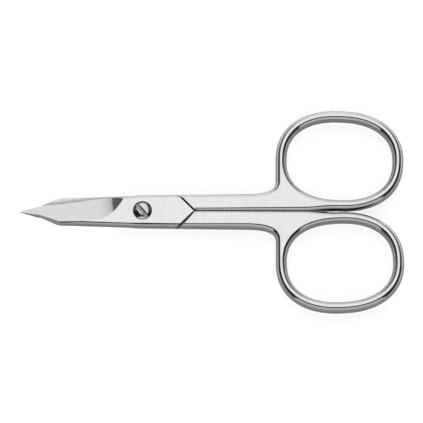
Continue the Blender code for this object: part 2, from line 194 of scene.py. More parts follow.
def outer_side(x):
    """Half width of the joint and shank at x."""
    neck_start = ring_center.x - ring_half_length - BAR_WIDTH / 2 - NECK_RUN
    return JOINT_HALF_WIDTH + x / neck_start * (SHANK_HALF_WIDTH - JOINT_HALF_WIDTH)


def back_side():
    """From the tip along the blade's back to the end of the joint's plate."""
    joint_side = Vector((0, -JOINT_HALF_WIDTH))
    plate_end = APEX_X + PLATE_OVERRUN
    return (
        [TIP] + soft_corner(TIP, TAPER_BEND, BACK_CORNER, CORNER_SOFTENING, BEND_STEPS)
        + soft_corner(TAPER_BEND, BACK_CORNER, joint_side, CORNER_SOFTENING, CORNER_STEPS)
        + [joint_side, Vector((plate_end, -outer_side(plate_end)))]
        + [Vector((plate_end, -SPLIT_STOCK))]
    )


def split_side():
    """Along the split between the handles and round the ring to its near end."""
    flat_end = Vector((SPLIT_FLAT_END, -SPLIT_STOCK))
    ring_bottom = ring_point(-math.pi / 2, BAR_WIDTH / 2)
    reach = Vector(((ring_bottom.x - flat_end.x) / 2, 0))
    quarter = RING_STEPS // 4
    return (
        [flat_end]
        + soft_curve(flat_end, flat_end + reach, ring_bottom - reach, ring_bottom, SPLIT_STEPS)
        + ring_arc(1 - quarter, 2 * quarter, BAR_WIDTH / 2)
    )


# %% The neck and the cutting edge
NECK_STEPS = 24
HEEL_STEPS = 18


def neck_side(ring_side):
    """From the ring down the curve of the neck to the shank."""
    neck_x = ring_side.x - NECK_RUN
    neck_start = Vector((neck_x, outer_side(neck_x)))
    neck_top = Vector((ring_side.x, neck_start.y + NECK_RISE))
    return [neck_top] + soft_curve(
        neck_top, neck_top - Vector((0, NECK_TOP_PULL * NECK_RISE)),
        neck_start + Vector((NECK_PULL_RUN * NECK_RUN, NECK_PULL_RISE * NECK_RISE)), neck_start,
        NECK_STEPS
    )


def edge_side():
    """From the joint along the cutting edge to its belly, near the tip."""
    joint_edge = Vector((0, JOINT_HALF_WIDTH))
    heel_curve = soft_curve(joint_edge, JOINT_PULL, HEEL_PULL, EDGE_HEEL, HEEL_STEPS)
    return [joint_edge] + heel_curve + [EDGE_BELLY]


outline = back_side() + split_side()
outline += neck_side(outline[-1]) + edge_side()
hole = ring_arc(0, RING_STEPS - 1, -BAR_WIDTH / 2)
print("outline has", len(outline), "points, finger hole", len(hole))

# %% [markdown]
# ## The forging
#
# A real half is forged and then ground, so its sides are rounded: by about a millimetre along
# the blade and the shank, more at the back of the taper, and nearly to a full oval around the
# finger ring, where it has to be kind to the finger. A Bevel modifier can't change its width on
# the way. So each vertex of the outline carries two values with it, its own place on the outline
# and the way inward, and the loop is extruded again and again: every new layer moves along a
# quarter of an ellipse, outward and up to the middle of the wall, then inward and up to the top.

# %% Sizes of the rounding
BLADE_ROUND = 0.92 * MM
TAPER_ROUND = 1.5 * MM
POINT_ROUND = 0.5 * MM
SHANK_ROUND = 1.0 * MM
RING_ROUND = 1.22 * MM
RING_ROUND_START = 15 * MM
RING_ROUND_FULL = 27 * MM
WALL_FLAT = 0.3 * MM


def smooth_step(value, start, end):
    share = min(1, max(0, (value - start) / (end - start)))
    return share * share * (3 - 2 * share)


def blend(first, second, share):
    return first + (second - first) * share


def rounding(point):
    """How far the rounded side reaches into the face beside this point of the outline."""
    side = TAPER_ROUND if point.y < 0 else POINT_ROUND
    blade = blend(BLADE_ROUND, side, smooth_step(point.x, BACK_CORNER.x, TAPER_BEND.x))
    blade = blend(blade, POINT_ROUND, smooth_step(point.x, TAPER_BEND.x, TIP.x))
    shank = blend(blade, SHANK_ROUND, smooth_step(point.x, 0, APEX_X))
    return blend(shank, RING_ROUND, smooth_step(point.x, RING_ROUND_START, RING_ROUND_FULL))


# %% Extruding the rounded sides
LAYERS = 24
LAYER_CROWDING = 1.25
LOOP_VALUES = ("place", "inward")


def extruded(body, edges):
    """A loop of edges extruded once. Gives the new edges and the new vertices."""
    raised = bmesh.ops.extrude_edge_only(body, edges=edges)["geom"]
    new_edges = [item for item in raised if isinstance(item, bmesh.types.BMEdge)]
    new_vertices = [item for item in raised if isinstance(item, bmesh.types.BMVert)]
    return new_edges, new_vertices


def inward_ways(points):
    """The way inward at each point of an anticlockwise outline, sized so that sides stay parallel."""
    ways = []
    for before, here, after in zip(points[-1:] + points[:-1], points, points[1:] + points[:1]):
        first = (here - before).normalized()
        second = (after - here).normalized()
        first_in = Vector((-first.y, first.x))
        second_in = Vector((-second.y, second.x))
        ways.append((first_in + second_in) / (1 + first_in.dot(second_in)))
    return ways


def start_loop(body, points, side):
    """The outline as a loop of edges whose vertices know their place and their way inward."""
    place = body.verts.layers.float_vector["place"]
    inward = body.verts.layers.float_vector["inward"]
    vertices = []
    for point, way in zip(points, inward_ways(points)):
        vertex = body.verts.new()
        vertex[place] = point.to_3d()
        vertex[inward] = (side * way * rounding(point)).to_3d()
        vertices.append(vertex)
    return [body.edges.new(pair) for pair in zip(vertices, vertices[1:] + vertices[:1])]


def rounded_slab(outlines, half_height):
    """A slab between flat faces, with a rounded side all along each outline."""
    body = bmesh.new()
    layers = body.verts.layers.float_vector
    for value in LOOP_VALUES:
        layers.new(value)
    edges = []
    for points, side in outlines:
        edges += start_loop(body, points, side)
    place, inward = (layers[value] for value in LOOP_VALUES)

    def shape(vertices, turn, facing):
        height = WALL_FLAT / 2 + (half_height - WALL_FLAT / 2) * math.cos(turn)
        for vertex in vertices:
            vertex.co = vertex[place] + vertex[inward] * (1 - math.sin(turn))
            vertex.co.z = facing * height

    turns = [math.pi / 2 * (step / LAYERS) ** LAYER_CROWDING for step in range(LAYERS + 1)]
    steps = [(turn, -1) for turn in turns] + [(turn, 1) for turn in reversed(turns)]
    shape(body.verts, *steps[0])
    bottom = edges
    for turn, facing in steps[1:]:
        edges, raised = extruded(body, edges)
        shape(raised, turn, facing)
    for rim in (bottom, edges):
        bmesh.ops.triangle_fill(body, edges=rim, use_beauty=True, normal=(0, 0, 1))
    bmesh.ops.recalc_face_normals(body, faces=body.faces)
    for value in LOOP_VALUES:
        layers.remove(layers[value])
    return body


FACE_STEP = 0.15 * MM
half_thickness = THICKNESS / 2
face_height = half_thickness - FACE_STEP
both_outlines = [(outline, 1), (hole, -1)]
handle_slab = rounded_slab(both_outlines, half_thickness)
blade_slab = rounded_slab(both_outlines, face_height)
print("each slab has", len(handle_slab.faces), "faces")

# %% [markdown]
# ## Grinding and milling
#
# The forging is now worked as in the workshop, and each cut is a Boolean: the lap where the other
# half lies, the split between the handles, the hollow that a grinding wheel leaves beside the
# cutting edge, and the seat of the screw. A cutter is a flat outline raised into a block, or a
# cylinder. Every face remembers which cutter made it, so that the edge between two cuts can stay
# crisp later, however flat the angle between them is.

# %% Sizes of the cuts
LAP_GAP = 0.06 * MM
GRIND_WIDTH = 5.1 * MM
GRIND_END_X = -3.9 * MM
RUN_OUT_LENGTH = 7.0 * MM
RUN_OUT_POWER = 2
EDGE_LAND = 0.13 * MM
CHEVRON_ANGLE = math.radians(45)
RISER_SLOPE = math.radians(18)
SHOULDER_ANGLE = math.radians(50)
SHOULDER_GAP = 0.32 * MM
SHOULDER_ROUND = 0.14 * MM
SPLIT_GAP = 0.34 * MM
HEAD_DIAMETER = 4.06 * MM
RECESS_CLEARANCE = 0.2 * MM
SEAT_DEPTH = 0.9 * MM
SCREW_DIAMETER = 2.4 * MM
BORE_CLEARANCE = 0.08 * MM
REACH = TIP_REACH + RING_REACH
CUT_HEIGHT = 2 * THICKNESS
ROUND_SIDES = 96
WELD = 0.0005 * MM
inner_face = LAP_GAP / 2
grind_slope = math.atan((face_height - inner_face - EDGE_LAND) / GRIND_WIDTH)
print("ground slope", round(math.degrees(grind_slope), 1), "degrees")

# %% Numbers of the cuts
FORGED, PLATE_SIDE, RISER, BEYOND_PLATE, SPLIT, LAP, SLOPE, TIP_SLOPE, BORE, RECESS = range(10)
HONED_EDGE, HONED_TIP, BACK_FACET, POINT_FACET, CHAMFER = range(RECESS + 1, RECESS + 6)
SAW, WEAR = 1, 2


# %% Cutters
def block(points, start, moves, place=Matrix()):
    """A flat outline at the height start, raised by one move after another."""
    body = bmesh.new()
    bottom = body.faces.new([body.verts.new((point.x, point.y, start)) for point in points])
    edges = list(bottom.edges)
    for move in moves:
        edges, raised = extruded(body, edges)
        bmesh.ops.translate(body, verts=raised, vec=move)
    bmesh.ops.edgeloop_fill(body, edges=edges)
    bmesh.ops.transform(body, matrix=place, verts=body.verts)
    bmesh.ops.recalc_face_normals(body, faces=body.faces)
    return body


def straight_block(points, bottom, top, place=Matrix()):
    return block(points, bottom, [Vector((0, 0, top - bottom))], place)


def cylinder(diameter, bottom, top):
    body = bmesh.new()
    bmesh.ops.create_cone(
        body, cap_ends=True, segments=ROUND_SIDES, radius1=diameter / 2, radius2=diameter / 2,
        depth=top - bottom, matrix=Matrix.Translation((0, 0, (top + bottom) / 2))
    )
    return body


# %% Working a body
def new_object(name, body):
    mesh = bpy.data.meshes.new(name)
    body.to_mesh(mesh)
    body.free()
    result = bpy.data.objects.new(name, mesh)
    scene.collection.objects.link(result)
    return result


def number_faces(body, number):
    """Give the faces of a cutter the number of its cut."""
    layer = body.faces.layers.int.new("cut")
    for face in body.faces:
        face[layer] = number


def worked(body, tools, operation="DIFFERENCE"):
    """The body after each numbered tool has been taken from it, or joined to it."""
    worked_object = new_object("being_worked", body.copy())
    tool_objects = []
    for number, tool in tools:
        copied = tool.copy()
        if not copied.faces.layers.int.get("cut"):
            number_faces(copied, number)
        tool_objects.append(new_object("tool", copied))
        modifier = worked_object.modifiers.new("cut", "BOOLEAN")
        modifier.operation = operation
        modifier.object = tool_objects[-1]
    bpy.context.view_layer.update()
    evaluated = worked_object.evaluated_get(bpy.context.evaluated_depsgraph_get())
    result = bmesh.new()
    result.from_mesh(evaluated.to_mesh())
    for spent in [worked_object] + tool_objects:
        spent_mesh = spent.data
        bpy.data.objects.remove(spent)
        bpy.data.meshes.remove(spent_mesh)
    bmesh.ops.remove_doubles(result, verts=result.verts, dist=WELD)
    return result


# %% The areas of the flat cuts
def tips_side(angle, apex_x):
    """Everything on the tips' side of a V whose lines lean back from the axis."""
    rise = REACH * math.sin(angle)
    run = REACH * math.cos(angle)
    return [
        Vector((apex_x, 0)), Vector((apex_x - run, rise)), Vector((-REACH, rise)),
        Vector((-REACH, -rise)), Vector((apex_x, -rise)),
    ]


def rings_side(angle, apex_x):
    """Everything on the other side of that V."""
    rise = REACH * math.sin(angle)
    run = REACH * math.cos(angle)
    return [
        Vector((apex_x, -rise)), Vector((2 * REACH, -rise)), Vector((2 * REACH, rise)),
        Vector((apex_x - run, rise)), Vector((apex_x, 0)),
    ]


def other_handle_side():
    """The room of the other half's handle."""
    edge = SPLIT_GAP / 2
    run = REACH / math.tan(CHEVRON_ANGLE)
    return [
        Vector((APEX_X + edge, edge)), Vector((REACH, edge)), Vector((REACH, edge - REACH)),
        Vector((APEX_X + edge - run, edge - REACH)),
    ]


# %% [markdown]
# The joint's plate lies a little lower than the handle, so the half is joined from two slabs:
# one as thick as the handle, cut away on the tips' side of the V, and a thinner one for the plate
# and the blade. Where they meet, the handle comes down in a short slope. Below, the shoulder
# against which the other half lies has a rounded rim.

# %% Joining the handle to the plate
OVERLAP = 0.4 * MM
flare = 1 / math.tan(RISER_SLOPE) / math.sin(CHEVRON_ANGLE)
plate_side = straight_block(tips_side(CHEVRON_ANGLE, APEX_X), -CUT_HEIGHT, CUT_HEIGHT)
riser = block(
    tips_side(CHEVRON_ANGLE, APEX_X - face_height * flare), 0,
    [Vector((CUT_HEIGHT * flare, 0, CUT_HEIGHT))]
)
beyond_plate = straight_block(
    rings_side(CHEVRON_ANGLE, APEX_X + OVERLAP), -CUT_HEIGHT, CUT_HEIGHT
)
handle_part = worked(handle_slab, [(PLATE_SIDE, plate_side), (RISER, riser)])
blade_part = worked(blade_slab, [(BEYOND_PLATE, beyond_plate)])
print("handle has", len(handle_part.faces), "faces, plate and blade", len(blade_part.faces))

# %% The shoulder and the split
ROUND_STEPS = 8
shoulder_x = APEX_X + SHOULDER_GAP / math.sin(SHOULDER_ANGLE)


def shoulder_moves():
    """From the inner face down to the rounded rim, round it, and on past the half."""
    moves = [Vector((0, 0, SHOULDER_ROUND - half_thickness - inner_face))]
    turns = [math.pi / 2 * step / ROUND_STEPS for step in range(ROUND_STEPS + 1)]
    for before, here in zip(turns, turns[1:]):
        outward = SHOULDER_ROUND * (math.cos(before) - math.cos(here))
        down = SHOULDER_ROUND * (math.sin(here) - math.sin(before))
        moves.append(Vector((outward / math.sin(SHOULDER_ANGLE), 0, -down)))
    return moves + [Vector((0, 0, -CUT_HEIGHT))]


lap_cut = block(tips_side(SHOULDER_ANGLE, shoulder_x), inner_face, shoulder_moves())
split_cut = straight_block(other_handle_side(), -CUT_HEIGHT, CUT_HEIGHT)

# %% [markdown]
# The blade's slope is cut by a wheel. Its profile is level along the blade and then rises along
# the rim of the wheel, which leaves the steel beside the joint in a hollow, the dark patch that
# catches the eye in the picture. The profile is drawn flat, stood upright, tipped to the slope
# and turned to the heading of the cutting edge. A last light stroke breaks the cutting edge.

# %% The ground slope
RUN_OUT_STEPS = 48
WHEEL_REACH = 4 * JOINT_HALF_WIDTH
HONING_ANGLE = math.radians(42)
HONING_LAND = 0.02 * MM
HONING_FADE = 5.0 * MM
HONING_END = 1.0 * MM
HONING_LIFT = 0.1 * MM


def ground(edge_start, edge_end, slope, height, profile):
    """What a wheel takes away above a slope that starts at the edge, at that height."""
    along = edge_end - edge_start
    upright = Matrix.Rotation(math.pi / 2, 4, "X")
    tipped = Matrix.Rotation(-slope, 4, "X")
    heading = Matrix.Rotation(math.atan2(along.y, along.x), 4, "Z")
    place = Matrix.Translation((*edge_start, height))
    return straight_block(
        profile, -WHEEL_REACH, WHEEL_REACH, place @ heading @ tipped @ upright
    )


def wheel_profile():
    """Level along the blade, then steeper and steeper as the wheel leaves the steel."""
    along = EDGE_HEEL - EDGE_BELLY
    run_out_end = (GRIND_END_X - EDGE_BELLY.x) * along.length / along.x
    depth = GRIND_WIDTH * math.sin(grind_slope)
    past_end = (CUT_HEIGHT / depth) ** (1 / RUN_OUT_POWER)
    shares = [past_end * step / RUN_OUT_STEPS for step in range(RUN_OUT_STEPS + 1)]
    return [Vector((-REACH, 0))] + [
        Vector((run_out_end + RUN_OUT_LENGTH * (share - 1), depth * share ** RUN_OUT_POWER))
        for share in shares
    ] + [Vector((-REACH, CUT_HEIGHT))]


def tip_profile():
    """Level from beyond the tip to halfway along the straight edge."""
    end = (EDGE_BELLY - TIP).length + (EDGE_HEEL - EDGE_BELLY).length / 2
    return [
        Vector((-REACH, 0)), Vector((end, 0)), Vector((end, CUT_HEIGHT)),
        Vector((-REACH, CUT_HEIGHT)),
    ]


def honing_profile():
    """Level along the cutting edge, and off the steel beside the joint."""
    end = (EDGE_HEEL - EDGE_BELLY).length
    return [
        Vector((-REACH, 0)), Vector((end - HONING_FADE, 0)),
        Vector((end - HONING_END, HONING_LIFT)), Vector((end + HONING_END, CUT_HEIGHT)),
        Vector((-REACH, CUT_HEIGHT)),
    ]


edge_height = inner_face + EDGE_LAND
slope_cut = ground(EDGE_BELLY, EDGE_HEEL, grind_slope, edge_height, wheel_profile())
tip_cut = ground(TIP, EDGE_BELLY, grind_slope, edge_height, tip_profile())
honed_height = inner_face + HONING_LAND
honed_edge = ground(EDGE_BELLY, EDGE_HEEL, HONING_ANGLE, honed_height, honing_profile())
honed_tip = ground(TIP, EDGE_BELLY, HONING_ANGLE, honed_height, tip_profile())

# %% [markdown]
# The back of the taper is dressed in two steep facets, one on each side of the bend. A bevel
# along that edge would be as wide at the point as at the joint. The helper of the slope cuts a
# facet as well, so its profile only has to stop at both ends of the run.

# %% The facets along the back of the taper
FACET_SLOPE = math.radians(57)
FACET_LAND = 0.08 * MM
FACET_OVERRUN = 0.1 * MM
POINT_OVERRUN = 0.5 * MM


def run_profile(overrun, start, end):
    """Level between two points, and past both of them by the overrun."""
    first = -overrun
    last = (end - start).length + overrun
    return [
        Vector((first, 0)), Vector((last, 0)), Vector((last, CUT_HEIGHT)),
        Vector((first, CUT_HEIGHT)),
    ]


def facet(start, end):
    """Between two points of the outline, and hardly further."""
    profile = run_profile(FACET_OVERRUN, start, end)
    return ground(start, end, FACET_SLOPE, inner_face + FACET_LAND, profile)


back_facet = facet(BACK_CORNER, TAPER_BEND)
point_facet = facet(TAPER_BEND, TIP + (TIP - TAPER_BEND).normalized() * POINT_OVERRUN)

# %% [markdown]
# A light stroke also breaks the edge along the joint and the back of the blade. It is less than a
# millimetre wide and tilted by only 15 degrees, but polished steel turns its reflection by twice
# that, toward the dark side of the studio. So it draws the thin dark line along the near side. It
# could be painted on, but a real facet also stays right from other sides.

# %% A light chamfer along the joint and the back of the blade
CHAMFER_SLOPE = math.radians(15)
CHAMFER_LINE = [(9.2, -3.1), (-3.0, -2.955), (-15.0, -2.55), (-19.7, -1.99)]


def chamfer(start, end):
    """One straight run, on the face's height along the line from start to end."""
    return ground(start, end, CHAMFER_SLOPE, face_height, run_profile(0, start, end))


line = [Vector(point) * MM for point in CHAMFER_LINE]
chamfers = [(CHAMFER, chamfer(start, end)) for start, end in zip(line, line[1:])]

# %% [markdown]
# Now all the cutters go to work. The handle and the blade are worked separately and joined last.
# Every cut could be made in one joined body, but a Boolean is surer in a simple one. The near
# half alone gets the seat of the screw, and the far half is the same forging turned over.

# %% Working the two halves
bore = SCREW_DIAMETER + 2 * BORE_CLEARANCE
recess = HEAD_DIAMETER + 2 * RECESS_CLEARANCE
bore_cut = cylinder(bore, -CUT_HEIGHT, CUT_HEIGHT)
recess_cut = cylinder(recess, face_height - SEAT_DEPTH, CUT_HEIGHT)
handle_cuts = [(SPLIT, split_cut), (LAP, lap_cut)]
blade_cuts = handle_cuts + [
    (SLOPE, slope_cut), (TIP_SLOPE, tip_cut), (HONED_EDGE, honed_edge), (HONED_TIP, honed_tip),
    (BACK_FACET, back_facet), (POINT_FACET, point_facet), *chamfers, (BORE, bore_cut),
]


def finished_half(cuts):
    """Both parts are cut first and then joined, so that each cut meets a simple body."""
    handle = worked(handle_part, handle_cuts)
    return worked(handle, [(FORGED, worked(blade_part, cuts))], "UNION")


near_body = finished_half(blade_cuts + [(RECESS, recess_cut)])
far_body = finished_half(blade_cuts)
bmesh.ops.rotate(
    far_body, cent=(0, 0, 0), matrix=Matrix.Rotation(math.pi, 3, "X"), verts=far_body.verts
)
for name, body in (("near", near_body), ("far", far_body)):
    bmesh.ops.translate(body, verts=body.verts, vec=pivot)
    loose = [edge for edge in body.edges if not edge.is_manifold]
    print(name, "half has", len(body.faces), "faces and", len(loose), "open edges")
near_forging = new_object("near_forging", near_body)
far_forging = new_object("far_forging", far_body)

# %% [markdown]
# ## The screw
#
# A turned screw: its half profile is drawn as a line of edges and spun once round the axis. The
# head has a low crown and a broad chamfer. The slot was sawn a little beside the middle, and one
# of its sides leans back where drivers have worn it, so its cutter is a profile of its own.

# %% Sizes of the screw
SEAT_CLEARANCE = 0.05 * MM
HEAD_RIM = 0.66 * MM
CROWN_DIAMETER = 3.04 * MM
CROWN_RISE = 0.15 * MM
CHAMFER_RISE = 0.3 * MM
SLOT_WIDTH = 0.7 * MM
SLOT_DEPTH = 0.42 * MM
SLOT_OFFSET = 0.2 * MM
SLOT_LEAN = 0.2 * MM
SLOT_ANGLE = math.radians(-50)
END_INSET = 0.05 * MM
END_CHAMFER = 0.12 * MM
seat = face_height - SEAT_DEPTH + SEAT_CLEARANCE
rim_height = seat + HEAD_RIM
crown_height = rim_height + CHAMFER_RISE
head_radius = HEAD_DIAMETER / 2
crown_radius = CROWN_DIAMETER / 2
screw_radius = SCREW_DIAMETER / 2
screw_end = END_INSET - face_height
CROWN_STEPS = 16


# %% Turning the screw
def screw_profile():
    points = []
    for step in range(CROWN_STEPS + 1):
        share = step / CROWN_STEPS
        rise = crown_height + CROWN_RISE * (1 - share * share)
        points.append(Vector((share * crown_radius, 0, rise)))
    return points + [
        Vector((head_radius, 0, rim_height)), Vector((head_radius, 0, seat)),
        Vector((screw_radius, 0, seat)), Vector((screw_radius, 0, screw_end + END_CHAMFER)),
        Vector((screw_radius - END_CHAMFER, 0, screw_end)), Vector((0, 0, screw_end)),
    ]


screw_body = bmesh.new()
points = [screw_body.verts.new(point) for point in screw_profile()]
chain = [screw_body.edges.new(pair) for pair in zip(points, points[1:])]
bmesh.ops.spin(
    screw_body, geom=points + chain, cent=(0, 0, 0), axis=(0, 0, 1), angle=2 * math.pi,
    steps=ROUND_SIDES, use_merge=True
)
bmesh.ops.remove_doubles(screw_body, verts=screw_body.verts, dist=WELD)
bmesh.ops.recalc_face_normals(screw_body, faces=screw_body.faces)


# %% Sawing the slot
def slot_profile():
    """The slot seen along its length: an upright side, the floor and a side that leans back."""
    floor_start = -SLOT_OFFSET - SLOT_WIDTH / 2
    floor_end = floor_start + SLOT_WIDTH
    saw_height = 2 * SLOT_DEPTH
    open_end = floor_end + SLOT_LEAN * saw_height / SLOT_DEPTH
    return [
        Vector((floor_start, 0)), Vector((floor_end, 0)), Vector((open_end, saw_height)),
        Vector((floor_start, saw_height)),
    ]


def across_head(profile, angle):
    """A profile pushed across the head along that direction, its zero at the slot's floor."""
    place = (
        Matrix.Translation((0, 0, crown_height + CROWN_RISE / 2 - SLOT_DEPTH))
        @ Matrix.Rotation(angle, 4, "Z") @ Matrix.Rotation(math.pi / 2, 4, "Z")
        @ Matrix.Rotation(math.pi / 2, 4, "X")
    )
    return straight_block(profile, -HEAD_DIAMETER, HEAD_DIAMETER, place)


saw = across_head(slot_profile(), SLOT_ANGLE)

# %% [markdown]
# Drivers have also worn the head down on one side of the slot, where only a narrow lip still
# stands along it. That could be sculpted, but a cutter with a sloping underside gives a clean
# flat, and it is pushed across the head as the saw was, in nearly the same direction.

# %% Wearing the head down beside the slot
LIP_EDGE = -0.92 * MM
LIP_HEIGHT = 0.43 * MM
WORN_SLOPE = math.radians(20)
WORN_ANGLE = math.radians(-56)


def worn_profile():
    """Everything above a slope that falls away from a narrow lip beside the slot."""
    far = LIP_EDGE - HEAD_DIAMETER
    low = LIP_HEIGHT - HEAD_DIAMETER * math.tan(WORN_SLOPE)
    return [
        Vector((LIP_EDGE, LIP_HEIGHT)), Vector((LIP_EDGE, HEAD_DIAMETER)),
        Vector((far, HEAD_DIAMETER)), Vector((far, low)),
    ]


wearing = across_head(worn_profile(), WORN_ANGLE)
screw_body = worked(screw_body, [(SAW, saw), (WEAR, wearing)])
bmesh.ops.translate(screw_body, verts=screw_body.verts, vec=pivot)
turned_screw = new_object("turned_screw", screw_body)
print("screw has", len(turned_screw.data.polygons), "faces")

# %% [markdown]
# ## Smooth shading with true flats
#
# The faces are ground flat, so their reflections must be flat too. Smooth shading alone would
# bend the light near each rounded edge. Edges between two different cuts are marked sharp, and a
# Weighted Normal modifier lets the large flat faces keep their own direction.

# %% Shading
CREASE = math.radians(22)
LEAST_TURN = 0.01
PULL_OF_LARGE_FACES = 100


def shade(piece):
    """Smooth inside each cut and crisp between two cuts, or where the surface turns sharply."""
    mesh = piece.data
    mesh.shade_smooth()
    body = bmesh.new()
    body.from_mesh(mesh)
    cut = body.faces.layers.int["cut"]
    for edge in body.edges:
        turn = edge.calc_face_angle(0)
        numbers = {face[cut] for face in edge.link_faces}
        between_cuts = len(numbers) > 1 and turn > LEAST_TURN
        edge.smooth = not (turn > CREASE or between_cuts)
    body.to_mesh(mesh)
    body.free()
    weighted = piece.modifiers.new("true_flats", "WEIGHTED_NORMAL")
    weighted.keep_sharp = True
    weighted.weight = PULL_OF_LARGE_FACES


for piece in (near_forging, far_forging, turned_screw):
    shade(piece)
    crisp = [edge for edge in piece.data.edges if edge.use_edge_sharp]
    print(piece.name, "has", len(crisp), "crisp edges")

# %% [markdown]
# ## Helpers for node trees
#
# Every material below is a small tree of nodes. Writing each node and each wire by hand fills
# pages, so three helpers do it: one adds a node and feeds its inputs with numbers or with other
# nodes' outputs, one adds a Math node, and one adds a soft ramp from one value to another. Two
# more start a node group, which packs an effect for use in several materials, and place it.

# %% Adding and wiring nodes
def add_node(tree, kind, inputs=None, **settings):
    node = tree.nodes.new("ShaderNode" + kind)
    for name, value in settings.items():
        setattr(node, name, value)
    for name, value in (inputs or {}).items():
        if isinstance(value, bpy.types.NodeSocket):
            tree.links.new(value, node.inputs[name])
        else:
            node.inputs[name].default_value = value
    return node


def maths(tree, operation, *values, clamp=False):
    node = add_node(tree, "Math", dict(enumerate(values)), operation=operation, use_clamp=clamp)
    return node.outputs[0]


def ramp(tree, value, start, end, low=0.0, high=1.0):
    return add_node(tree, "MapRange", {
        "Value": value, "From Min": start, "From Max": end, "To Min": low, "To Max": high,
    }, interpolation_type="SMOOTHSTEP").outputs["Result"]


# %% Starting and placing a node group
FLOAT = "NodeSocketFloat"
VECTOR = "NodeSocketVector"


def new_group(name, inputs, output):
    """A group with named inputs and one named output, and the sockets to build between."""
    group = bpy.data.node_groups.new(name, "ShaderNodeTree")
    for socket_name, kind, value in inputs:
        socket = group.interface.new_socket(socket_name, in_out="INPUT", socket_type=kind)
        if value is not None:
            socket.default_value = value
    group.interface.new_socket(output, in_out="OUTPUT", socket_type=FLOAT)
    entry = group.nodes.new("NodeGroupInput")
    exit_node = group.nodes.new("NodeGroupOutput")
    return group, entry.outputs, exit_node.inputs[output]


def use_group(tree, group, inputs=None):
    return add_node(tree, "Group", inputs, node_tree=group).outputs[0]


# %% [markdown]
# ## The effects that the steels share
#
# Five things happen to steel like this, and each becomes a node group, built once and used by
# several materials. The rounded sides were only brushed after forging and stayed duller than the
# ground faces, and their colour is darkened as painted shade, for the shadowed floor that they
# reflect. So the first group tells a steep side from a face. The second draws the fine lines that
# grinding leaves. The third draws rings round the pivot, from turning or from rubbing. The fourth
# finds the edges, which hands and cloths have worn a little and which the materials also lighten
# as a painted highlight. The fifth gives the faint, broad marks of handling. Pictures of real
# steel could stand in for these patterns, but worked out from each place on the metal they need
# no unwrapping and have no seams.

# %% Steep sides
steep_side, entry, leaving = new_group("steep_side", [
    ("Upright Below", FLOAT, 0.64), ("Flat Above", FLOAT, 0.70),
], "Side")
facing = add_node(steep_side, "NewGeometry").outputs["Normal"]
upward = add_node(steep_side, "SeparateXYZ", {0: facing}).outputs["Z"]
steep = ramp(
    steep_side, maths(steep_side, "ABSOLUTE", upward), entry["Upright Below"],
    entry["Flat Above"], 1.0, 0.0
)
steep_side.links.new(steep, leaving)

# %% Grinding lines
grinding_lines, entry, leaving = new_group("grinding_lines", [
    ("Place", VECTOR, None), ("Lines per Metre", VECTOR, (9000, 260, 260)),
], "Height")
stretched = add_node(
    grinding_lines, "VectorMath", {0: entry["Place"], 1: entry["Lines per Metre"]},
    operation="MULTIPLY"
).outputs[0]
fine = add_node(
    grinding_lines, "TexNoise", {"Vector": stretched, "Scale": 1.0, "Detail": 3.0}
).outputs["Fac"]
grinding_lines.links.new(fine, leaving)

# %% Rings round the pivot
rings_group, entry, leaving = new_group("pivot_rings", [
    ("Place", VECTOR, None), ("Pivot", VECTOR, None), ("Rings per Metre", FLOAT, 12000),
], "Height")
from_pivot = add_node(
    rings_group, "VectorMath", {0: entry["Place"], 1: entry["Pivot"]}, operation="SUBTRACT"
).outputs[0]
flattened = add_node(
    rings_group, "VectorMath", {0: from_pivot, 1: (1, 1, 0)}, operation="MULTIPLY"
).outputs[0]
radius = add_node(rings_group, "VectorMath", {0: flattened}, operation="LENGTH").outputs["Value"]
rings_noise = add_node(rings_group, "TexNoise", {
    "W": maths(rings_group, "MULTIPLY", radius, entry["Rings per Metre"]),
    "Scale": 1.0, "Detail": 2.0,
}, noise_dimensions="1D").outputs["Fac"]
rings_group.links.new(rings_noise, leaving)

# %% Worn edges, which also carry a painted highlight
WORN_LIKENESS = (0.999, 0.96)
WORN_PATCHES = (0.35, 0.6)
PATCHES_PER_METRE = 1400.0
edge_wear_and_highlight, entry, leaving = new_group("edge_wear_and_highlight", [
    ("Place", VECTOR, None), ("Width", FLOAT, 0.06 * MM),
], "Wear and Highlight")
rounded = add_node(edge_wear_and_highlight, "Bevel", {"Radius": entry["Width"]}, samples=4).outputs[0]
own = add_node(edge_wear_and_highlight, "NewGeometry").outputs["Normal"]
likeness = add_node(
    edge_wear_and_highlight, "VectorMath", {0: rounded, 1: own}, operation="DOT_PRODUCT"
).outputs["Value"]
patchy = add_node(
    edge_wear_and_highlight, "TexNoise", {"Vector": entry["Place"], "Scale": PATCHES_PER_METRE, "Detail": 2.0}
).outputs["Fac"]
worn = maths(
    edge_wear_and_highlight, "MULTIPLY", ramp(edge_wear_and_highlight, likeness, *WORN_LIKENESS),
    ramp(edge_wear_and_highlight, patchy, *WORN_PATCHES)
)
edge_wear_and_highlight.links.new(worn, leaving)

# %% Handling marks
MARKED_PATCHES = (0.35, 0.7)
handling, entry, leaving = new_group("handling_marks", [
    ("Place", VECTOR, None), ("Marks per Metre", FLOAT, 420.0),
], "Marks")
broad = add_node(handling, "TexNoise", {
    "Vector": entry["Place"], "Scale": entry["Marks per Metre"], "Detail": 4.0,
    "Roughness": 0.65,
}).outputs["Fac"]
handling.links.new(ramp(handling, broad, *MARKED_PATCHES), leaving)
print("node groups", sorted(group.name for group in bpy.data.node_groups))


# %% [markdown]
# ## Polished steel
#
# The faces are ground and polished, almost a mirror with a little haze, and carry the faintest
# lines across the blade. The rounded sides are duller, and their colour is darker as painted
# shade, darkest where they stand upright. The edges are lightened as bare steel and as a painted
# highlight. All the values that vary are mixed here from the groups above. The ones that don't
# vary are set on the shader itself.

# %% A new steel
def new_steel(name):
    material = bpy.data.materials.new(name)
    material.use_nodes = True
    tree = material.node_tree
    shader = tree.nodes["Principled BSDF"]
    shader.inputs["Metallic"].default_value = 1
    place = add_node(tree, "TexCoord").outputs["Object"]
    return material, tree, shader, place


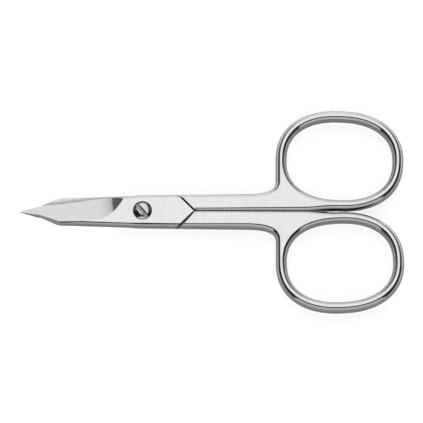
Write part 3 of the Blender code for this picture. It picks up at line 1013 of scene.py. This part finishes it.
def mixed(tree, share, first, second):
    """A colour between two others, each of them a number triple or a node's output."""
    node = add_node(tree, "Mix", data_type="RGBA")
    tree.links.new(share, node.inputs["Factor"])
    for name, value in (("A", first), ("B", second)):
        socket = next(item for item in node.inputs if item.name == name and item.type == "RGBA")
        if isinstance(value, bpy.types.NodeSocket):
            tree.links.new(value, socket)
        else:
            socket.default_value = (*value, 1)
    return next(item for item in node.outputs if item.type == "RGBA")


def bumped(tree, shader, height, depth):
    """Let a height pattern of that depth bend the light."""
    bump = add_node(tree, "Bump", {"Height": height, "Distance": depth, "Strength": 1.0})
    tree.links.new(bump.outputs[0], shader.inputs["Normal"])


# %% Polished steel
FACE_COLOUR = (0.80, 0.80, 0.808)
MARKED_COLOUR = (0.765, 0.765, 0.775)
# Painted shade: the sides are darker than the faces, standing for the shadowed floor that they
# reflect, and darkest where they stand upright.
SIDE_PAINTED_SHADE_COLOUR = (0.24, 0.24, 0.245)
UPRIGHT_PAINTED_SHADE_COLOUR = (0.135, 0.135, 0.138)
# Worn edges turn toward this lighter colour: bare steel, and also a painted highlight along each
# edge.
BARE_AND_HIGHLIGHT_COLOUR = (0.86, 0.86, 0.865)
UPRIGHT_SIDES = {"Upright Below": 0.2, "Flat Above": 0.6}
BARE_AND_HIGHLIGHT_SHARE = 0.35
FACE_HAZE = 0.06
MARKS_HAZE = 0.03
SIDE_DULLNESS = 0.2
WEAR_DULLNESS = 0.08
GRINDING_DEPTH = 0.0004 * MM
polished, tree, shader, place = new_steel("polished_steel")
side = use_group(tree, steep_side)
upright = use_group(tree, steep_side, UPRIGHT_SIDES)
lines = use_group(tree, grinding_lines, {"Place": place})
marks = use_group(tree, handling, {"Place": place})
wear_and_highlight = use_group(tree, edge_wear_and_highlight, {"Place": place})
face = mixed(tree, marks, FACE_COLOUR, MARKED_COLOUR)
unworn = mixed(tree, side, face, mixed(tree, upright, SIDE_PAINTED_SHADE_COLOUR, UPRIGHT_PAINTED_SHADE_COLOUR))
colour = mixed(tree, maths(tree, "MULTIPLY", wear_and_highlight, BARE_AND_HIGHLIGHT_SHARE), unworn, BARE_AND_HIGHLIGHT_COLOUR)
tree.links.new(colour, shader.inputs["Base Color"])
haze = maths(tree, "MULTIPLY_ADD", marks, MARKS_HAZE, FACE_HAZE)
dull = maths(tree, "MULTIPLY_ADD", side, SIDE_DULLNESS, haze)
roughness = maths(tree, "MULTIPLY_ADD", wear_and_highlight, WEAR_DULLNESS, dull)
tree.links.new(roughness, shader.inputs["Roughness"])
bumped(tree, shader, lines, GRINDING_DEPTH)
print("polished steel is made of", len(tree.nodes), "nodes")

# %% [markdown]
# ## Lapped faces and the seat of the screw
#
# The faces that slide on each other are lapped flat but not polished. Along the blade they show
# as a grey strip, lighter away from the other blade's edge and darkened near it by a painted
# shadow of that blade. Under the joint they are darkened as painted shade, and in the narrow gaps
# and the seat of the screw that painted shade is nearly black. So the colour follows the place on
# the scissors, the steepness and the distance from the pivot. The rubbing has drawn arcs round it.

# %% Lapped steel
LAPPED_COLOUR = (0.84, 0.84, 0.845)
# Painted shadow: the strip takes this darker colour near the other blade's edge, where that blade's
# shadow falls.
PAINTED_EDGE_SHADOW_COLOUR = (0.46, 0.46, 0.465)
# Painted shade: toward the joint the lapped face takes this colour, and its walls and the screw's
# seat take the nearly black one below.
JOINT_SHADE_COLOUR = (0.32, 0.32, 0.318)
GAP_SHADE_COLOUR = (0.045, 0.045, 0.044)
JOINT_SHADE_START = -5.5 * MM
JOINT_SHADE_FULL = -3.0 * MM
SEAT_SHADE = (2.6 * MM, 3.2 * MM, 1.0, 0.0)
EDGE_SHADOW_WIDTH = 1.1 * MM
ARC_SHADE = (0.2, 0.8, 1.0, 0.85)
LAPPED_MARKS_PER_METRE = 700.0
LAPPED_ROUGHNESS = 0.22
LAPPED_MARKS_DULLNESS = 0.1
ARC_DEPTH = 0.0002 * MM
lapped, tree, shader, place = new_steel("lapped_steel")
along, across, _ = add_node(tree, "SeparateXYZ", {0: place}).outputs
# Toward the joint, on the walls and in the screw's seat, the lapped face is darkened as painted
# shade.
joint_shade = ramp(tree, along, pivot.x + JOINT_SHADE_START, pivot.x + JOINT_SHADE_FULL)
edge_climb = (EDGE_HEEL.y - EDGE_BELLY.y) / (EDGE_HEEL.x - EDGE_BELLY.x)
edge_start = EDGE_BELLY.y - edge_climb * (EDGE_BELLY.x + pivot.x)
beyond_edge = maths(
    tree, "MULTIPLY_ADD", along, -edge_climb, maths(tree, "ABSOLUTE", across)
)
# Near the other blade's edge the strip is darkened by a painted shadow of that blade.
out_of_edge_shadow = ramp(tree, beyond_edge, edge_start, edge_start + EDGE_SHADOW_WIDTH)
from_pivot = add_node(
    tree, "VectorMath", {0: place, 1: tuple(pivot)}, operation="DISTANCE"
).outputs["Value"]
walls = use_group(tree, steep_side)
hidden = maths(tree, "MAXIMUM", walls, ramp(tree, from_pivot, *SEAT_SHADE))
painted_joint_shade = mixed(tree, hidden, JOINT_SHADE_COLOUR, GAP_SHADE_COLOUR)
arcs = use_group(tree, rings_group, {"Place": place, "Pivot": tuple(pivot)})
bright = maths(tree, "MULTIPLY", out_of_edge_shadow, ramp(tree, arcs, *ARC_SHADE))
strip = mixed(tree, bright, PAINTED_EDGE_SHADOW_COLOUR, LAPPED_COLOUR)
tree.links.new(mixed(tree, joint_shade, strip, painted_joint_shade), shader.inputs["Base Color"])
marks = use_group(
    tree, handling, {"Place": place, "Marks per Metre": LAPPED_MARKS_PER_METRE}
)
roughness = maths(tree, "MULTIPLY_ADD", marks, LAPPED_MARKS_DULLNESS, LAPPED_ROUGHNESS)
tree.links.new(roughness, shader.inputs["Roughness"])
bumped(tree, shader, arcs, ARC_DEPTH)
print("lapped steel is made of", len(tree.nodes), "nodes")

# %% [markdown]
# ## The screw's steel
#
# The head was turned, and the tool left rings round its axis. The slot was sawn and never
# polished, so it is duller, with a coarser grain, and its grey is partly the sawn steel and partly
# painted shade of the narrow slot. The same groups serve both, each with values of its own, so
# only the colours and the depths of the patterns are new.

# %% Turned steel
TURNED_COLOUR = (0.80, 0.80, 0.805)
TURNED_MARKED_COLOUR = (0.68, 0.68, 0.685)
TURNED_RINGS_PER_METRE = 9000.0
TURNED_MARKS_PER_METRE = 1500.0
TURNED_WEAR_WIDTH = 0.05 * MM
# On the head, too, worn edges are lightened as bare steel and as a painted highlight.
TURNED_BARE_AND_HIGHLIGHT_SHARE = 0.3
TURNED_ROUGHNESS = 0.1
TURNED_MARKS_DULLNESS = 0.06
RING_DEPTH = 0.0008 * MM
turned, tree, shader, place = new_steel("turned_steel")
rings = use_group(tree, rings_group, {
    "Place": place, "Pivot": tuple(pivot), "Rings per Metre": TURNED_RINGS_PER_METRE,
})
marks = use_group(
    tree, handling, {"Place": place, "Marks per Metre": TURNED_MARKS_PER_METRE}
)
wear_and_highlight = use_group(tree, edge_wear_and_highlight, {"Place": place, "Width": TURNED_WEAR_WIDTH})
face = mixed(tree, marks, TURNED_COLOUR, TURNED_MARKED_COLOUR)
colour = mixed(tree, maths(tree, "MULTIPLY", wear_and_highlight, TURNED_BARE_AND_HIGHLIGHT_SHARE), face, BARE_AND_HIGHLIGHT_COLOUR)
tree.links.new(colour, shader.inputs["Base Color"])
roughness = maths(tree, "MULTIPLY_ADD", marks, TURNED_MARKS_DULLNESS, TURNED_ROUGHNESS)
tree.links.new(roughness, shader.inputs["Roughness"])
bumped(tree, shader, rings, RING_DEPTH)
print("turned steel is made of", len(tree.nodes), "nodes")

# %% Sawn steel
# The slot's grey is partly the sawn steel and partly painted shade of the narrow slot.
SAWN_AND_SHADED_COLOUR = (0.42, 0.42, 0.425)
SAWN_AND_SHADED_MARKED_COLOUR = (0.30, 0.30, 0.305)
SAWN_MARKS_PER_METRE = 2500.0
SAWN_LINES_PER_METRE = (6000, 5000, 900)
SAWN_ROUGHNESS = 0.25
SAWN_MARKS_DULLNESS = 0.15
SAWN_DEPTH = 0.001 * MM
sawn, tree, shader, place = new_steel("sawn_steel")
marks = use_group(tree, handling, {"Place": place, "Marks per Metre": SAWN_MARKS_PER_METRE})
lines = use_group(
    tree, grinding_lines, {"Place": place, "Lines per Metre": SAWN_LINES_PER_METRE}
)
colour = mixed(tree, marks, SAWN_AND_SHADED_COLOUR, SAWN_AND_SHADED_MARKED_COLOUR)
tree.links.new(colour, shader.inputs["Base Color"])
roughness = maths(tree, "MULTIPLY_ADD", marks, SAWN_MARKS_DULLNESS, SAWN_ROUGHNESS)
tree.links.new(roughness, shader.inputs["Roughness"])
bumped(tree, shader, lines, SAWN_DEPTH)
print("sawn steel is made of", len(tree.nodes), "nodes")

# %% [markdown]
# ## Dressing the pieces
#
# Each face still knows its cut, and that decides its steel. Then each piece is handed to the
# frame: it takes the place of its plain solid and rides on the body that carries it, so that it
# moves when the scissors open.

# %% Dressing the pieces
def dress(piece, steels, second_cuts):
    """The first steel everywhere, and the second on the faces of the given cuts."""
    for material in steels:
        piece.data.materials.append(material)
    cuts = piece.data.attributes["cut"].data
    for polygon in piece.data.polygons:
        polygon.material_index = int(cuts[polygon.index].value in second_cuts)


LAPPED_CUTS = {SPLIT, LAP, BORE, RECESS}
for piece, body_name, node, slot, steels, second_cuts in (
    (near_forging, "near_half", "near_half", "polished_steel", (polished, lapped), LAPPED_CUTS),
    (far_forging, "far_half", "far_half", "polished_steel", (polished, lapped), LAPPED_CUTS),
    (turned_screw, "far_half", "pivot_screw", "turned_steel", (turned, sawn), {SAW}),
):
    dress(piece, steels, second_cuts)
    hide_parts(node)
    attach(piece, body_name)
    print(piece.name, "wears", [material.name for material in piece.data.materials])

# %% [markdown]
# ## The floor
#
# A round sheet of white paper with a raised rim. The picture's background is pure white, while
# paper under a studio light is a little grey. So the paper also glows a little, but only where
# the camera sees it, straight or in the steel. Light that bounces off it stays that of paper, and
# the shadow under the scissors stays too.

# %% Paper floor
FLOOR_RADIUS = 3
FLOOR_RIM = 0.3
PAPER_WHITE = (0.9, 0.9, 0.9, 1)
PAPER_GLOW = 0.75
sweep = bmesh.new()
bmesh.ops.create_circle(sweep, cap_ends=True, segments=ROUND_SIDES, radius=FLOOR_RADIUS)
rim = [edge for edge in sweep.edges if edge.is_boundary]
_, raised = extruded(sweep, rim)
bmesh.ops.translate(sweep, verts=raised, vec=(0, 0, FLOOR_RIM))
floor = new_object("floor", sweep)
print("the floor is", 2 * FLOOR_RADIUS, "m across")

paper = bpy.data.materials.new("paper")
paper.use_nodes = True
tree = paper.node_tree
tree.nodes.clear()
matte = add_node(tree, "BsdfDiffuse", {"Color": PAPER_WHITE})
rays = add_node(tree, "LightPath").outputs
straight = maths(tree, "ADD", rays["Is Camera Ray"], rays["Is Glossy Ray"])
seen = maths(tree, "ADD", straight, rays["Is Transmission Ray"], clamp=True)
glow = add_node(tree, "Emission", {"Strength": maths(tree, "MULTIPLY", seen, PAPER_GLOW)})
both = add_node(tree, "AddShader", {0: matte.outputs[0], 1: glow.outputs[0]})
add_node(tree, "OutputMaterial", {"Surface": both.outputs[0]})
floor.data.materials.append(paper)

# %% [markdown]
# ## Light
#
# Polished steel shows little but what it reflects, so the studio around it matters more than any
# lamp. Lamps and boards could be built as objects, but here the studio is painted on the sky as a
# few soft shapes, which never get in the camera's way. A broad soft box hangs overhead and runs
# to the far side. The camera's side is dark, because nothing shines where the camera stands, and
# below that a white board near the front fills the sides. To the left and right it is dark. That
# is what draws the dark lines along every rounded side. A dim wall behind and a little light from
# the ground keep the rest from going black.
#
# Two angles in degrees say where a shape lies: lean is how far a direction leans from the
# vertical, away from the camera when above zero, and zenith is how far it is from the vertical
# any way. Each ramp is given by where it starts and ends, and by its values there.

# %% Directions on the sky
world = bpy.data.worlds.new("studio")
scene.world = world
world.use_nodes = True
sky = world.node_tree
direction = add_node(sky, "TexCoord").outputs["Generated"]
x, y, z = add_node(sky, "SeparateXYZ", {0: direction}).outputs
sideways = maths(sky, "ABSOLUTE", x)
lean = maths(sky, "DEGREES", maths(sky, "ARCTAN2", y, z))
zenith = maths(sky, "DEGREES", maths(sky, "ARCCOSINE", z))

# %% The soft box overhead
BOX_NEAR_EDGE = (-4.0, 7.0)
BOX_HALF_WIDTH = (15.0, 40.0, 0.36, 0.4)
BOX_SIDE_EDGE = (0.975, 1.025, 1.0, 0.0)
BOX_SIDE_FALLOFF = 0.4
BOX_FAR_FALLOFF = (15.0, 50.0, 1.0, 0.88)
BOX_FAR_EDGE = (56.0, 84.0, 1.0, 0.5)
share = maths(sky, "DIVIDE", sideways, ramp(sky, lean, *BOX_HALF_WIDTH))
inside = ramp(sky, share, *BOX_SIDE_EDGE)
box = maths(sky, "MULTIPLY", ramp(sky, lean, *BOX_NEAR_EDGE), inside)
dimming = maths(sky, "MULTIPLY", maths(sky, "MULTIPLY", share, share), BOX_SIDE_FALLOFF)
box = maths(sky, "MULTIPLY", box, maths(sky, "SUBTRACT", 1.0, dimming))
for change in (BOX_FAR_FALLOFF, BOX_FAR_EDGE):
    box = maths(sky, "MULTIPLY", box, ramp(sky, lean, *change))

# %% The board in front
BOARD_TOP_EDGE = (-30.0, -25.0, 1.0, 0.0)
BOARD_SIDE_EDGE = (1.0, 1.15, 1.0, 0.0)
BOARD_BRIGHTNESS = (-60.0, -27.0, 0.45, 0.64)
LEAST_DIVISOR = 0.001
toward_camera = maths(sky, "MAXIMUM", maths(sky, "MULTIPLY", y, -1.0), LEAST_DIVISOR)
ratio = maths(sky, "DIVIDE", sideways, toward_camera)
board_top = ramp(sky, lean, *BOARD_TOP_EDGE)
board = maths(sky, "MULTIPLY", board_top, ramp(sky, ratio, *BOARD_SIDE_EDGE))
board = maths(sky, "MULTIPLY", board, ramp(sky, lean, *BOARD_BRIGHTNESS))

# %% The wall behind, the ground light and the whole sky
WALL_BRIGHTNESS = (10.0, 35.0, 0.0, 0.10)
GROUND_BRIGHTNESS = (66.0, 82.0, 0.0, 0.3)
ROOM_BRIGHTNESS = 0.02
wall = ramp(sky, lean, *WALL_BRIGHTNESS)
ground_light = ramp(sky, zenith, *GROUND_BRIGHTNESS)
boards = maths(sky, "MAXIMUM", box, board)
room = maths(sky, "MAXIMUM", wall, ground_light)
brightest = maths(sky, "MAXIMUM", boards, room)
background = sky.nodes["Background"]
background.inputs["Color"].default_value = (1, 1, 1, 1)
sky.links.new(maths(sky, "ADD", brightest, ROOM_BRIGHTNESS), background.inputs["Strength"])
print("the sky has", len(sky.nodes), "nodes")
